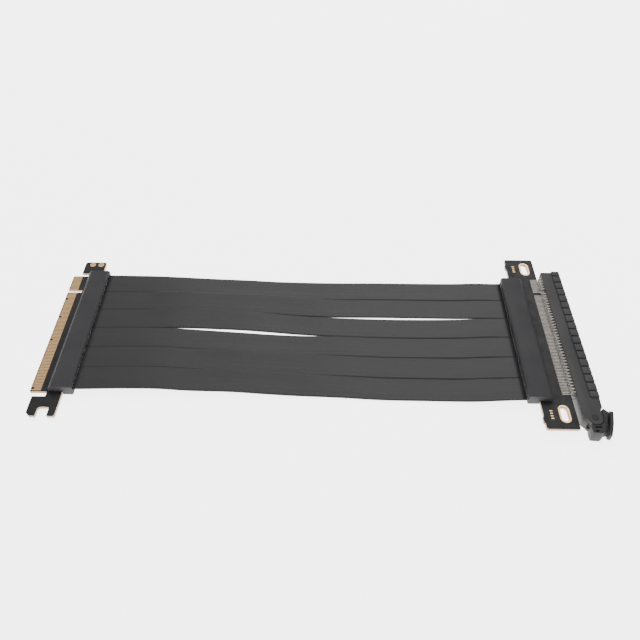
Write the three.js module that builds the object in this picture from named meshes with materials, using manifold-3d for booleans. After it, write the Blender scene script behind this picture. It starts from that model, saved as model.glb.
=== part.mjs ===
// Ribbon riser cable for an expansion slot: an edge plug board, six flat ribbons and a slot board.
// X runs along the ribbons from the plug to the slot, Y across them, Z up from the table.
// All sizes are in millimetres.
import * as THREE from 'three';
import { mergeVertices } from 'three/addons/utils/BufferGeometryUtils.js';
import Module from 'manifold-3d';

const wasm = await Module();
wasm.setup();

// Circuit boards
const boardThickness = 1.6;
const boardCorner = 1.2;
const solderGap = 0.1;        // between a board and what is moulded or soldered onto it
const platingHeight = 0.08;   // raised copper and gold on a board face

// Edge tongue of the plug board: contacts at a 1 mm pitch, with a key gap after the eleventh
const contactPitch = 1.0;
const contactCount = 82;
const contactsBeforeKey = 11;
const keyStep = 3.0;          // from the last contact before the key to the first after it
const keyWidth = 1.9;
const keyDepth = 8.25;
const tongueSideMargin = 1.1; // from the outermost contact's middle to the tongue's side
const fingerWidth = 0.7;
const fingerLength = 5.6;
const fingerSetback = 0;      // from the tongue's edge, whose bevel trims the gold too
const shortFingerSetback = 1.9;
const shortFingers = [17, 31, 48, 81];
const edgeBevelRun = 0.7;
const edgeBevelRise = 0.3;

// Plug board outline beyond the tongue
const plugUndersideHeight = 1.0;
const plugBoardDepth = 16.8;
const tongueRoot = 8.95;      // how far the slits beside the tongue reach in
const nearSlitWidth = 2.9;
const farSlitWidth = 2.45;
const hookSetback = 2.1;
const hookWidth = 12.0;
const hookCornerCut = 2.1;
const hookNotchStart = 7.1;
const hookNotchWidth = 5.7;
const hookNotchDepth = 5.4;
const farTabSetback = 4.5;
const farTabWidth = 9.95;
const tabHoleDiameter = 1.9;
const tabHoleRing = 3.4;
const tabHolePositions = [9.0, 14.0];
const tabHoleFromEdge = 2.2;

// Ribbons and their bare ends
const ribbonCount = 6;
const ribbonWidth = 13.5;
const ribbonSideGap = 0.45;   // between ribbons where they leave a moulding
const ribbonPitch = ribbonWidth + ribbonSideGap;
const ribbonThickness = 1.0;
const ribbonEdgeChamfer = 0.3;
const ribbonSteps = 20;
const ribbonGap = 0.3;        // between a ribbon and the moulding that it leaves
const bareMargin = 0.45;      // of jacket beyond the outermost conductor on each side
const bareThickness = 0.35;
const jacketLength = 4.6;     // of jacket held inside a moulding
const bareLength = 5.0;
const bareBend = 1.2;
const endSetback = 0.2;       // of a ribbon end from its moulding's cable face
const cavityGap = 0.1;        // around a ribbon end inside its moulding

// Mouldings over the soldered ends
const mouldDepth = 12.4;
const mouldHeight = 6.4;
const mouldCableChamfer = 0.9;
const mouldFootChamfer = 0.5;
const mouldSlopeRun = 1.7;
const mouldSlopeDrop = 1.8;
const mouldBelowBoard = 1.0;
const plugMouldCableFace = 22.0;
const plugMouldNearWall = 0.875; // of moulding beyond the outermost ribbon
const plugMouldFarWall = 2.175;
const plugRibbonTop = 4.6;
const plugRibbonMiddle = 0.1;

// Slot board
const slotBoardEdge = 257.9;  // cable side edge, measured from the tongue's edge
const slotBoardDepth = 16.5;
const slotBoardLength = 121.7;
const slotBoardMiddle = -1.55;
const slotHoleWidth = 3.6;
const slotHoleLength = 8.6;
const slotHoleRing = 0.95;
const slotHoleFromRear = 5.9;
const nearSlotHole = -53.4;
const farSlotHole = 51.0;
const breakoffDepth = 0.6;
const breakoffLength = 4.2;
const nearBreakoff = -57.0;
const farBreakoff = 52.5;
const slotMouldCableFace = 252.0;
const slotMouldNearWall = 1.275;
const slotMouldFarWall = 0.875;
const slotMouldBelowBoard = 1.0;
const slotRibbonTop = 5.3;
const slotRibbonMiddle = -3.0;

// Slot housing
const housingRear = 276.3;
const housingThickness = 7.5;
const bodyDepth = 6.0;        // from the rear face to the rim
const rimDepth = 4.5;
const rimThickness = 9.5;
const rimLip = 0.4;           // how much the rim's faces fall towards the mouth
const rimNotchPitch = 5.2;
const rimNotchWidth = 0.9;
const housingEndWall = 3.75;  // from the outermost contact's middle to the housing's end
const mouthWidth = 1.8;
const mouthDepth = 8.2;
const mouthEndClearance = 1.3;
const mouthLeadIn = 1.1;
const mouthLeadWidth = 3.8;
const keyWallWidth = 1.7;
const springWidth = 0.55;
const springHeight = 0.45;
const springHook = 1.4;       // from a spring's highest point to its front end
const springRoot = 0.2;
const springFrontSetback = 2.4;
const springRearSetback = 1.4;
const tailWidth = 0.5;
const tailThickness = 0.28;
const innerTailHeight = 1.25; // of the tail rows where they leave the rear face, from the board's mid-plane
const outerTailHeight = 3.1;
const tailLanding = 3.8;      // length of pad that the tails cover
const tailBend = 2.4;         // how far out of the rear face the tails meet the board
const tailEmbed = 0.3;

// Ears that carry the latch, and the latch in its closed position
const earWallThickness = 1.85;
const earGap = 0.35;          // between the latch and an ear's side
const channelStart = 0.6;     // of solid between the last contact pocket and the latch channel
const channelFloor = 1.9;     // thickness of housing left behind the latch
const pivotFromRear = 5.3;
const pivotFromEnd = 12.2;    // from the housing's near end to the pivot
const knuckleRadius = 3.9;
const knuckleGap = 0.4;
const pivotRadius = 1.5;
const pivotGap = 0.15;
const hubRadius = 3.1;
const earTopFromRear = 9.2;
const cheekSetback = 0.1;     // of the latch's cheeks from the ears' outer faces
const noseReach = 5.6;        // from the pivot towards the contacts
const latchOuterReach = 8.7;  // from the pivot away from the contacts
const latchTopReach = 7.6;    // from the pivot towards the mouth
const latchFoot = 2.8;        // from the pivot towards the board
const webSetback = 0.9;       // of the web between the ears from the foot
const paddleLength = 13.6;
const paddleThickness = 1.5;
const paddleTilt = 13.5;
const paddleHalfWidth = 4.75;
const paddleNeckHalfWidth = 3.4;
const paddleEndHalfWidth = 2.3;
const paddleLift = 0.45;
const pocketLength = 3.4;
const pocketWidth = 0.9;
const pocketDepth = 1.0;

const boardMiddleHeight = rimThickness / 2;
const slotBoardTop = boardMiddleHeight + boardThickness / 2;
const slotBoardUnderside = boardMiddleHeight - boardThickness / 2;
const plugBoardTop = plugUndersideHeight + boardThickness;
const bareHalfWidth = ribbonWidth / 2 - bareMargin;
const ribbonsHalfWidth = (ribbonPitch * (ribbonCount - 1) + ribbonWidth) / 2;
const overcut = 1;            // how far a cutting shape runs past the face that it cuts
const curveSteps = 4;
const roundSides = 24;

// Where contact number n (from 1) lies across the tongue and the slot
function contactPlace(n) {
  const span = (contactCount - 2) * contactPitch + keyStep;
  const fromFirst = (n - 1) * contactPitch + (n > contactsBeforeKey ? keyStep - contactPitch : 0);
  return span / 2 - fromFirst;
}

const firstContact = contactPlace(1);
const lastContact = contactPlace(contactCount);
const tongueFar = firstContact + tongueSideMargin;
const tongueNear = lastContact - tongueSideMargin;
const keyMiddle = (contactPlace(contactsBeforeKey) + contactPlace(contactsBeforeKey + 1)) / 2;
const mouthFace = housingRear + bodyDepth + rimDepth;
const housingFar = firstContact + housingEndWall;
const housingNear = lastContact - housingEndWall;
const pivotX = housingRear + pivotFromRear;
const pivotY = housingNear - pivotFromEnd;

// Outline through the points, each given as [x, y] or, with its corner rounded, as [x, y, radius]
function outline(points) {
  const shape = new THREE.Shape();
  points.forEach(([x, y, radius = 0], i) => {
    if (radius === 0) {
      if (i === 0) shape.moveTo(x, y);
      else shape.lineTo(x, y);
      return;
    }
    const corner = new THREE.Vector2(x, y);
    const last = points[(i + points.length - 1) % points.length];
    const next = points[(i + 1) % points.length];
    const start = new THREE.Vector2(last[0], last[1]).sub(corner).setLength(radius).add(corner);
    const end = new THREE.Vector2(next[0], next[1]).sub(corner).setLength(radius).add(corner);
    if (i === 0) shape.moveTo(start.x, start.y);
    else shape.lineTo(start.x, start.y);
    shape.quadraticCurveTo(x, y, end.x, end.y);
  });
  shape.closePath();
  return shape;
}

function rectangle(x0, y0, x1, y1) {
  return outline([[x0, y0], [x1, y0], [x1, y1], [x0, y1]]);
}

// Upright prism of one or several flat outlines between two heights
function prism(shapes, z0, z1) {
  const geometry = new THREE.ExtrudeGeometry(shapes, {
    depth: z1 - z0, bevelEnabled: false, curveSegments: curveSteps,
  });
  return geometry.translate(0, 0, z0);
}

// Prism of a section drawn in X and Z, running across from y0 to y1
function beam(section, y0, y1) {
  const geometry = new THREE.ExtrudeGeometry(section, {
    depth: y1 - y0, bevelEnabled: false, curveSegments: curveSteps,
  });
  return geometry.rotateX(Math.PI / 2).translate(0, y1, 0);
}

// Upright round pin or hole
function pin(x, y, radius, z0, z1) {
  const geometry = new THREE.CylinderGeometry(radius, radius, z1 - z0, roundSides);
  return geometry.rotateX(Math.PI / 2).translate(x, y, (z0 + z1) / 2);
}

function solid(geometry) {
  const bare = geometry.clone();
  bare.deleteAttribute('normal');
  bare.deleteAttribute('uv');
  const merged = mergeVertices(bare, 1e-4);
  return new wasm.Manifold(new wasm.Mesh({
    numProp: 3,
    vertProperties: new Float32Array(merged.attributes.position.array),
    triVerts: new Uint32Array(merged.index.array),
  }));
}

function joined(geometries) {
  return geometries.map(solid).reduce((whole, piece) => whole.add(piece));
}

function mesh(name, body, look) {
  let geometry = body;
  if (!body.isBufferGeometry) {
    const data = body.getMesh();
    const indexed = new THREE.BufferGeometry();
    indexed.setAttribute('position', new THREE.BufferAttribute(new Float32Array(data.vertProperties), 3));
    indexed.setIndex(new THREE.BufferAttribute(new Uint32Array(data.triVerts), 1));
    geometry = indexed.toNonIndexed();
    geometry.computeVertexNormals();
  }
  const result = new THREE.Mesh(geometry, new THREE.MeshStandardMaterial(look));
  result.name = name;
  return result;
}

const maskLook = { color: 0x333338, roughness: 0.7, metalness: 0.0 };
const mouldLook = { color: 0x3c3c40, roughness: 0.6, metalness: 0.0 };
const housingLook = { color: 0x414145, roughness: 0.55, metalness: 0.0 };
const latchLook = { color: 0x3a3a3e, roughness: 0.55, metalness: 0.0 };
const ribbonLook = { color: 0x47474b, roughness: 0.45, metalness: 0.0 };
const tinnedLook = { color: 0xb9b6b0, roughness: 0.4, metalness: 0.8 };

// Plug board: tongue with gold fingers on both faces, a hooked tab at the near end, a plain tab at the far end
function plugBoard() {
  const hookFar = tongueNear - nearSlitWidth;
  const hookNear = hookFar - hookWidth;
  const notchTop = hookNear + hookNotchDepth;
  const tabNear = tongueFar + farSlitWidth;
  const tabFar = tabNear + farTabWidth;
  const shape = outline([
    [0, tongueNear, 0.5],
    [tongueRoot, tongueNear, 0.7],
    [tongueRoot, hookFar, 0.7],
    [hookSetback, hookFar, 0.6],
    [hookSetback, hookNear + hookCornerCut],
    [hookSetback + hookCornerCut, hookNear],
    [hookNotchStart, hookNear, 0.4],
    [hookNotchStart, notchTop, 1.9],
    [hookNotchStart + hookNotchWidth, notchTop, 0.8],
    [hookNotchStart + hookNotchWidth, hookNear, 0.4],
    [plugBoardDepth, hookNear, boardCorner],
    [plugBoardDepth, tabFar, boardCorner],
    [farTabSetback, tabFar, boardCorner],
    [farTabSetback, tabNear, 0.6],
    [tongueRoot, tabNear, 0.7],
    [tongueRoot, tongueFar, 0.7],
    [0, tongueFar, 0.5],
    [0, keyMiddle + keyWidth / 2, 0.3],
    [keyDepth, keyMiddle + keyWidth / 2, 0.6],
    [keyDepth, keyMiddle - keyWidth / 2, 0.6],
    [0, keyMiddle - keyWidth / 2, 0.3],
  ]);
  const low = plugUndersideHeight;
  const top = plugBoardTop;
  const fingers = { upper: [], lower: [] };
  for (let n = 1; n <= contactCount; n += 1) {
    const y = contactPlace(n);
    const isShort = shortFingers.includes(n);
    const start = isShort ? shortFingerSetback : fingerSetback;
    fingers.upper.push(rectangle(start, y - fingerWidth / 2, fingerLength, y + fingerWidth / 2));
    const lowerStart = n === 1 ? shortFingerSetback : fingerSetback;
    fingers.lower.push(rectangle(lowerStart, y - fingerWidth / 2, fingerLength, y + fingerWidth / 2));
  }
  const holeY = tabFar - tabHoleFromEdge;
  const rings = tabHolePositions.map((x) => pin(x, holeY, tabHoleRing / 2, low - platingHeight, top + platingHeight));
  let board = joined([
    prism(shape, low, top),
    prism(fingers.upper, top - platingHeight, top + platingHeight),
    prism(fingers.lower, low - platingHeight, low + platingHeight),
    ...rings,
  ]);
  for (const x of tabHolePositions) {
    board = board.subtract(solid(pin(x, holeY, tabHoleDiameter / 2, low - overcut, top + overcut)));
  }
  const slope = edgeBevelRise / edgeBevelRun;
  for (const side of [-1, 1]) {
    const face = side > 0 ? top : low;
    const bevel = outline([
      [-overcut, face - side * (edgeBevelRise + slope * overcut)],
      [edgeBevelRun + overcut, face + side * slope * overcut],
      [-overcut, face + side * slope * overcut],
    ]);
    board = board.subtract(solid(beam(bevel, tongueNear - overcut, tongueFar + overcut)));
  }
  return board;
}

// Section of a moulding in X and Z. The cable face is at x = face, and the board side lies towards dir.
function mouldSection(face, dir, base) {
  const top = base + mouldHeight;
  const at = (depth, z) => [face + dir * depth, z];
  return outline([
    at(0, base + mouldFootChamfer),
    at(mouldFootChamfer, base),
    at(mouldDepth - mouldFootChamfer, base),
    at(mouldDepth, base + mouldFootChamfer),
    at(mouldDepth, top - mouldSlopeDrop),
    at(mouldDepth - mouldSlopeRun, top),
    at(mouldCableChamfer, top),
    at(0, top - mouldCableChamfer),
  ]);
}

// Side views of a ribbon's end: its jacket, and its bare conductors bent onto the board face
function endSections(face, dir, ribbonTop, boardFace, grow) {
  const at = (depth, z) => [face + dir * depth, z];
  const start = grow > 0 ? -overcut : endSetback;
  const inner = jacketLength + bareLength + grow;
  const ribbonLow = ribbonTop - ribbonThickness;
  const mid = (ribbonTop + ribbonLow) / 2;
  const bareLow = boardFace + solderGap;
  const jacket = outline([
    at(start, ribbonLow - grow),
    at(jacketLength + grow, ribbonLow - grow),
    at(jacketLength + grow, ribbonTop + grow),
    at(start, ribbonTop + grow),
  ]);
  const bare = outline([
    at(jacketLength - bareBend / 2, mid - bareThickness / 2 - grow),
    at(jacketLength + bareBend / 4, mid - bareThickness / 2 - grow),
    at(jacketLength + bareBend, bareLow - grow),
    at(inner, bareLow - grow),
    at(inner, bareLow + bareThickness + grow),
    at(jacketLength + bareBend, bareLow + bareThickness + grow),
    at(jacketLength + bareBend / 4, mid + bareThickness / 2 + grow),
    at(jacketLength - bareBend / 2, mid + bareThickness / 2 + grow),
  ]);
  return [jacket, bare];
}

function ribbonPlaces(middle) {
  return Array.from({ length: ribbonCount }, (_, i) => middle + ribbonPitch * ((ribbonCount - 1) / 2 - i));
}

const plugPlaces = ribbonPlaces(plugRibbonMiddle);
const slotPlaces = ribbonPlaces(slotRibbonMiddle);

// A ribbon end inside a moulding: the full-width jacket and the narrower band of bare ends
function ribbonEnd(face, dir, ribbonTop, boardFace, y) {
  const [jacket, bare] = endSections(face, dir, ribbonTop, boardFace, 0);
  return joined([
    beam(jacket, y - ribbonWidth / 2, y + ribbonWidth / 2),
    beam(bare, y - bareHalfWidth, y + bareHalfWidth),
  ]);
}

// Moulding cast round the board's edge and the ribbon ends
function mould({ face, dir, base, near, far, boardLow, boardEdge, ribbonTop, places }) {
  let body = solid(beam(mouldSection(face, dir, base), near, far));
  const boardTop = boardLow + boardThickness;
  const boardSide = face + dir * (mouldDepth + overcut);
  const groove = outline([
    [boardEdge - dir * solderGap, boardLow - solderGap],
    [boardSide, boardLow - solderGap],
    [boardSide, boardTop + solderGap],
    [boardEdge - dir * solderGap, boardTop + solderGap],
  ]);
  body = body.subtract(solid(beam(groove, near - overcut, far + overcut)));
  const [jacket, bare] = endSections(face, dir, ribbonTop, boardTop, cavityGap);
  for (const y of places) {
    const jacketHalf = ribbonWidth / 2 + cavityGap;
    const bareHalf = bareHalfWidth + cavityGap;
    body = body.subtract(solid(beam(jacket, y - jacketHalf, y + jacketHalf)));
    body = body.subtract(solid(beam(bare, y - bareHalf, y + bareHalf)));
  }
  return body;
}

// Middle line of each ribbon between the mouldings: how far along, height of its top, and its place across
const routeX = [22, 26, 48, 65, 80, 103, 120, 136, 158, 180, 202, 225, 238, 248, 252];
const routeTop = [4.6, 4.62, 4.8, 4.6, 4.0, 2.9, 2.0, 1.3, 1.15, 1.15, 1.15, 1.9, 3.5, 5.1, 5.3];
const routeAcross = [
  [0, 0, 34.9, 34.9, 35.4, 35.6, 35.6, 35.3, 35.1, 35.4, 35.5, 35.0, 34.0, 0, 0],
  [0, 0, 21.1, 21.1, 21.6, 21.8, 21.8, 21.5, 21.2, 21.6, 21.6, 21.0, 20.0, 0, 0],
  [0, 0, 7.3, 7.3, 7.8, 8.0, 8.0, 7.4, 6.4, 6.1, 6.1, 5.8, 5.2, 0, 0],
  [0, 0, -6.5, -6.5, -6.7, -7.4, -7.8, -7.8, -7.7, -7.8, -7.9, -8.3, -8.9, 0, 0],
  [0, 0, -20.4, -20.4, -20.6, -21.2, -21.6, -21.6, -21.6, -22.1, -22.3, -22.7, -23.2, 0, 0],
  [0, 0, -34.3, -34.3, -34.5, -35.1, -35.5, -35.5, -35.6, -36.5, -36.7, -37.2, -37.6, 0, 0],
];

// Flat ribbon: its section pushed along the route without turning it
function ribbon(index) {
  const points = routeX.map((x, i) => {
    const ends = [plugPlaces[index], plugPlaces[index], ...routeAcross[index].slice(2, -2)];
    const across = [...ends, slotPlaces[index], slotPlaces[index]][i];
    return new THREE.Vector3(x, across, routeTop[i] - ribbonThickness / 2);
  });
  points[0].x = plugMouldCableFace + ribbonGap;
  points[points.length - 1].x = slotMouldCableFace - ribbonGap;
  const curve = new THREE.CatmullRomCurve3(points);
  const halfWidth = ribbonWidth / 2;
  const halfThick = ribbonThickness / 2;
  const c = ribbonEdgeChamfer;
  const section = outline([
    [-halfWidth, -halfThick + c],
    [-halfWidth + c, -halfThick],
    [halfWidth - c, -halfThick],
    [halfWidth, -halfThick + c],
    [halfWidth, halfThick - c],
    [halfWidth - c, halfThick],
    [-halfWidth + c, halfThick],
    [-halfWidth, halfThick - c],
  ]);
  const geometry = new THREE.ExtrudeGeometry(section, { depth: 1, steps: ribbonSteps, bevelEnabled: false });
  const place = geometry.attributes.position;
  for (let i = 0; i < place.count; i += 1) {
    const centre = curve.getPointAt(Math.min(1, Math.max(0, place.getZ(i))));
    place.setXYZ(i, centre.x, centre.y + place.getX(i), centre.z + place.getY(i));
  }
  geometry.computeVertexNormals();
  return geometry;
}

// Slot board: a strip with a plated slotted hole at each end and small break-off nubs on its cable edge
function slotBoard() {
  const rear = slotBoardEdge + slotBoardDepth;
  const near = slotBoardMiddle - slotBoardLength / 2;
  const far = slotBoardMiddle + slotBoardLength / 2;
  const low = slotBoardUnderside;
  const top = slotBoardTop;
  const nub = slotBoardEdge - breakoffDepth;
  const shape = outline([
    [slotBoardEdge, near, boardCorner],
    [rear, near, boardCorner],
    [rear, far, boardCorner],
    [slotBoardEdge, far, boardCorner],
    [slotBoardEdge, farBreakoff + breakoffLength / 2],
    [nub, farBreakoff + breakoffLength / 2 - 0.5],
    [nub, farBreakoff - breakoffLength / 2 + 0.5],
    [slotBoardEdge, farBreakoff - breakoffLength / 2],
    [slotBoardEdge, nearBreakoff + breakoffLength / 2],
    [nub, nearBreakoff + breakoffLength / 2 - 0.5],
    [nub, nearBreakoff - breakoffLength / 2 + 0.5],
    [slotBoardEdge, nearBreakoff - breakoffLength / 2],
  ]);
  let board = solid(prism(shape, low, top));
  const x = rear - slotHoleFromRear;
  for (const y of [nearSlotHole, farSlotHole]) {
    const slotted = (radius, z0, z1) => {
      const half = slotHoleLength / 2 - slotHoleWidth / 2;
      const shapeOfHole = new THREE.Shape();
      shapeOfHole.absarc(x, y + half, radius, 0, Math.PI);
      shapeOfHole.absarc(x, y - half, radius, Math.PI, 2 * Math.PI);
      return solid(prism(shapeOfHole, z0, z1));
    };
    board = board.add(slotted(slotHoleWidth / 2 + slotHoleRing, low - platingHeight, top + platingHeight));
    board = board.subtract(slotted(slotHoleWidth / 2, low - overcut, top + overcut));
  }
  return board;
}

// Solder tails from the housing's rear face down onto the board, in two staggered rows on each side
function tails() {
  const pieces = [];
  const landing = housingRear - tailBend - tailLanding;
  const boardFace = boardThickness / 2 + solderGap;
  for (let n = 1; n <= contactCount; n += 1) {
    const y = contactPlace(n);
    const out = n % 2 === 0;
    for (const side of [-1, 1]) {
      const at = (x, h) => [x, boardMiddleHeight + side * h];
      const inside = housingRear + tailEmbed;
      const foot = boardFace + tailThickness;
      const inner = [
        at(inside, innerTailHeight - tailThickness / 2),
        at(inside, innerTailHeight + tailThickness / 2),
        at(landing, foot),
        at(landing, boardFace),
      ];
      const outer = [
        at(inside, outerTailHeight - tailThickness / 2),
        at(inside, outerTailHeight + tailThickness / 2),
        at(housingRear - tailBend, foot),
        at(landing, foot),
        at(landing, boardFace),
        at(housingRear - tailBend - tailThickness / 2, boardFace),
      ];
      pieces.push(beam(outline(out ? outer : inner), y - tailWidth / 2, y + tailWidth / 2));
    }
  }
  return pieces;
}

// Long pockets for the card's edge, on both sides of the key wall
function cardPockets() {
  const far = firstContact + mouthEndClearance;
  const near = lastContact - mouthEndClearance;
  const floor = mouthFace - mouthDepth;
  const half = mouthWidth / 2;
  const leadHalf = mouthLeadWidth / 2;
  const mid = boardMiddleHeight;
  const section = outline([
    [floor, mid - half],
    [mouthFace - mouthLeadIn, mid - half],
    [mouthFace + 0.01, mid - leadHalf],
    [mouthFace + overcut, mid - leadHalf],
    [mouthFace + overcut, mid + leadHalf],
    [mouthFace + 0.01, mid + leadHalf],
    [mouthFace - mouthLeadIn, mid + half],
    [floor, mid + half],
  ]);
  return joined([
    beam(section, near, keyMiddle - keyWallWidth / 2),
    beam(section, keyMiddle + keyWallWidth / 2, far),
  ]);
}

// Spring contacts that stand out of the pocket walls
function springs() {
  const start = mouthFace - mouthDepth + springRearSetback;
  const end = mouthFace - springFrontSetback;
  const half = mouthWidth / 2;
  const mid = boardMiddleHeight;
  const pieces = [];
  for (let n = 1; n <= contactCount; n += 1) {
    const y = contactPlace(n);
    for (const side of [-1, 1]) {
      const path = [
        [start, mid + side * (half + springRoot)],
        [end - springHook, mid + side * (half - springHeight)],
        [end, mid + side * (half + springRoot)],
      ];
      pieces.push(beam(outline(path), y - springWidth / 2, y + springWidth / 2));
    }
  }
  return pieces;
}

// Side view, in X and Y, of the two ears that hold the latch's pivot
function earShape() {
  const shape = new THREE.Shape();
  shape.moveTo(housingRear, housingNear + channelStart);
  shape.lineTo(housingRear, pivotY + 0.6);
  shape.lineTo(pivotX - knuckleRadius * Math.cos(Math.PI / 9), pivotY - knuckleRadius * Math.sin(Math.PI / 9));
  shape.absarc(pivotX, pivotY, knuckleRadius, Math.PI * 10 / 9, Math.PI * 2, false);
  shape.lineTo(housingRear + earTopFromRear, pivotY + noseReach - 0.3);
  shape.lineTo(housingRear + earTopFromRear + 1.0, pivotY + noseReach + 0.5);
  shape.lineTo(housingRear + earTopFromRear + 1.3, housingNear + channelStart);
  shape.closePath();
  return shape;
}

// Slot housing: body, castellated rim, card pockets with springs, tails and the ears for the latch
function slotHousing() {
  const mid = boardMiddleHeight;
  const low = mid - housingThickness / 2;
  const top = mid + housingThickness / 2;
  const rimLow = mid - rimThickness / 2;
  const rimTop = mid + rimThickness / 2;
  const rimStart = housingRear + bodyDepth;
  const section = outline([
    [housingRear, low],
    [rimStart, low],
    [rimStart, rimLow],
    [mouthFace - rimLip, rimLow + 0.1],
    [mouthFace, rimLow + rimLip],
    [mouthFace, rimTop - rimLip],
    [mouthFace - rimLip, rimTop - 0.1],
    [rimStart, rimTop],
    [rimStart, top],
    [housingRear, top],
  ]);
  let body = solid(beam(section, housingNear, housingFar));
  const notchCount = Math.floor((housingFar - housingNear) / rimNotchPitch);
  const firstNotch = (housingFar + housingNear) / 2 - (notchCount - 1) * rimNotchPitch / 2;
  for (let i = 0; i < notchCount; i += 1) {
    const y = firstNotch + i * rimNotchPitch;
    for (const [z0, z1] of [[rimLow - overcut, low], [top, rimTop + overcut]]) {
      const cut = rectangle(rimStart - 0.001, y - rimNotchWidth / 2, mouthFace + overcut, y + rimNotchWidth / 2);
      body = body.subtract(solid(prism(cut, z0, z1)));
    }
  }
  body = body.subtract(cardPockets());
  body = joined(springs()).intersect(solid(beam(section, housingNear, housingFar))).add(body);
  body = body.add(joined(tails()));
  const channel = rectangle(
    housingRear + channelFloor,
    pivotY - knuckleRadius - overcut,
    mouthFace + overcut,
    housingNear,
  );
  const ears = solid(prism(earShape(), low, top))
    .subtract(solid(prism(channel, low + earWallThickness, top - earWallThickness)))
    .subtract(solid(pin(pivotX, pivotY, pivotRadius + pivotGap, low - overcut, top + overcut)));
  const passage = rectangle(housingRear + channelFloor, housingNear - overcut, mouthFace + overcut, lastContact);
  return body.add(ears)
    .subtract(solid(prism(passage, mid - mouthWidth / 2, mid + mouthWidth / 2)));
}

// Latch in its closed position: hub between the ears, cheeks that wrap the knuckle, nose, foot and thumb paddle
function latch() {
  const mid = boardMiddleHeight;
  const halfHousing = housingThickness / 2;
  const cheekLow = mid - halfHousing + cheekSetback;
  const cheekTop = mid + halfHousing - cheekSetback;
  const hubHalf = halfHousing - earWallThickness - earGap;
  const inner = knuckleRadius + knuckleGap;
  const at = (x, y) => [pivotX + x, pivotY + y];
  const outer = [
    at(inner, 0.4),
    at(inner + 0.2, noseReach - 0.6),
    at(inner + 1.1, noseReach),
    at(latchTopReach, noseReach - 2.2),
    at(latchTopReach - 4.5, -latchOuterReach + 1.1),
    at(latchTopReach - 6.0, -latchOuterReach),
    at(-latchFoot, -latchOuterReach + 0.3),
    at(-latchFoot - 0.2, -inner - 1.4),
    at(-inner * 0.62, -inner * 0.79),
    at(inner * 0.5, -inner * 0.4),
  ];
  const head = outline(outer);
  let cheeks = solid(prism(head, cheekLow, cheekTop));
  cheeks = cheeks.subtract(solid(pin(pivotX, pivotY, inner, cheekLow - overcut, mid - hubHalf)));
  cheeks = cheeks.subtract(solid(pin(pivotX, pivotY, inner, mid + hubHalf, cheekTop + overcut)));
  const web = outline([
    at(1.5, 2.2),
    at(inner + 0.2, noseReach - 1.4),
    at(inner + 1.1, noseReach - 1.0),
    at(2.5, -inner),
    at(-latchFoot + webSetback, -inner),
    at(-latchFoot + webSetback, -1.0),
  ]);
  let body = cheeks
    .add(solid(prism(web, mid - hubHalf, mid + hubHalf)))
    .add(solid(pin(pivotX, pivotY, hubRadius, mid - hubHalf, mid + hubHalf)))
    .add(solid(pin(pivotX, pivotY, pivotRadius, mid - halfHousing, mid + halfHousing)));
  const tilt = THREE.MathUtils.degToRad(paddleTilt);
  const along = new THREE.Vector3(-Math.sin(tilt), -Math.cos(tilt), 0);
  const across = new THREE.Vector3(0, 0, 1);
  const through = new THREE.Vector3().crossVectors(along, across);
  const paddleShape = outline([
    [0, -paddleNeckHalfWidth],
    [1.4, -paddleHalfWidth, 0.5],
    [paddleLength * 0.62, -paddleHalfWidth, 0.8],
    [paddleLength, -paddleEndHalfWidth, 0.8],
    [paddleLength, paddleEndHalfWidth, 0.8],
    [paddleLength * 0.62, paddleHalfWidth, 0.8],
    [1.4, paddleHalfWidth, 0.5],
    [0, paddleNeckHalfWidth],
  ]);
  const side = Math.sign(through.x);
  const start = new THREE.Vector3(pivotX + latchTopReach + paddleLift, pivotY + noseReach - 1.1, mid);
  const frame = new THREE.Matrix4().makeBasis(along, across, through).setPosition(start);
  const paddle = prism(paddleShape, side > 0 ? 0 : -paddleThickness, side > 0 ? paddleThickness : 0);
  paddle.applyMatrix4(frame);
  const neck = outline([
    at(latchTopReach - 0.6, noseReach - 2.6),
    at(latchTopReach + paddleLift + 0.3, noseReach - 1.9),
    at(latchTopReach + paddleLift + 0.3 - 10.6 * Math.tan(tilt), noseReach - 12.5),
    at(latchTopReach - 5.6, -latchOuterReach + 0.6),
  ]);
  body = body.add(solid(paddle)).add(solid(prism(neck, mid - hubHalf, mid + hubHalf)));
  for (const [x, y, length] of [[0.3, -inner - 1.0, pocketLength], [-0.9, -inner - 3.2, pocketLength / 2]]) {
    const pocket = rectangle(pivotX + x - length / 2, pivotY + y - pocketWidth / 2,
      pivotX + x + length / 2, pivotY + y + pocketWidth / 2);
    body = body.subtract(solid(prism(pocket, cheekTop - pocketDepth, cheekTop + overcut)));
    body = body.subtract(solid(prism(pocket, cheekLow - overcut, cheekLow + pocketDepth)));
  }
  return body;
}

const riser = new THREE.Group();
riser.add(mesh('plug_board', plugBoard(), maskLook));
riser.add(mesh('plug_mould', mould({
  face: plugMouldCableFace,
  dir: -1,
  base: plugUndersideHeight - mouldBelowBoard,
  near: plugRibbonMiddle - ribbonsHalfWidth - plugMouldNearWall,
  far: plugRibbonMiddle + ribbonsHalfWidth + plugMouldFarWall,
  boardLow: plugUndersideHeight,
  boardEdge: plugBoardDepth,
  ribbonTop: plugRibbonTop,
  places: plugPlaces,
}), mouldLook));
riser.add(mesh('slot_board', slotBoard(), maskLook));
riser.add(mesh('slot_mould', mould({
  face: slotMouldCableFace,
  dir: 1,
  base: slotBoardUnderside - slotMouldBelowBoard,
  near: slotRibbonMiddle - ribbonsHalfWidth - slotMouldNearWall,
  far: slotRibbonMiddle + ribbonsHalfWidth + slotMouldFarWall,
  boardLow: slotBoardUnderside,
  boardEdge: slotBoardEdge,
  ribbonTop: slotRibbonTop,
  places: slotPlaces,
}), mouldLook));
riser.add(mesh('slot_housing', slotHousing(), housingLook));
riser.add(mesh('latch', latch(), latchLook));
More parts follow.
